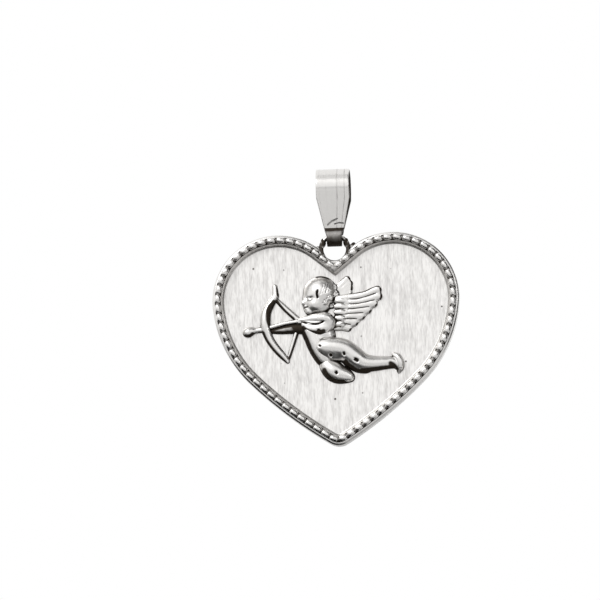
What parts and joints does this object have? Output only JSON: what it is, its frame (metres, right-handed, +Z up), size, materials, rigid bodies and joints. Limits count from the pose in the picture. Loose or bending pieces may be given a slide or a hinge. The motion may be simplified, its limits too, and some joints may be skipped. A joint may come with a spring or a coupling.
{
  "type": "heart pendant charm",
  "caption": "Silver heart charm on a folded tapering bail, with a beaded rim, a brushed field and a flying cupid with bow and arrow in relief.",
  "frame": {"origin": "middle of the bail's upper loop, where the chain passes", "axes": "+Z up to the bail, X across the heart, the relief faces -Y"},
  "size_m": [0.02, 0.003, 0.0226],
  "materials": {
    "polished_silver": "polished",
    "brushed_silver": "brushed upright",
    "relief_silver": "polished, darker in the recesses"
  },
  "bodies": {
    "bail": {"bail_strap": "polished_silver"},
    "heart": {"heart_plate": "brushed_silver", "rim_band": "polished_silver", "bead_border": "polished_silver", "eye_ring": "polished_silver", "eye_solder": "polished_silver", "cherub_head": "relief_silver", "cherub_torso": "relief_silver", "cherub_arm": "relief_silver", "cherub_far_arm": "relief_silver", "cherub_near_leg": "relief_silver", "cherub_far_leg": "relief_silver", "near_wing": "relief_silver", "far_wing": "relief_silver", "bow_stave": "relief_silver", "bow_string": "relief_silver", "arrow": "relief_silver"}
  },
  "joints": [
    {"name": "heart_swing", "type": "hinge", "parent": "bail", "child": "heart", "pos_m": [0, 0, -0.00403], "axis": [1, 0, 0], "range_deg": [-105, 105]}
  ]
}
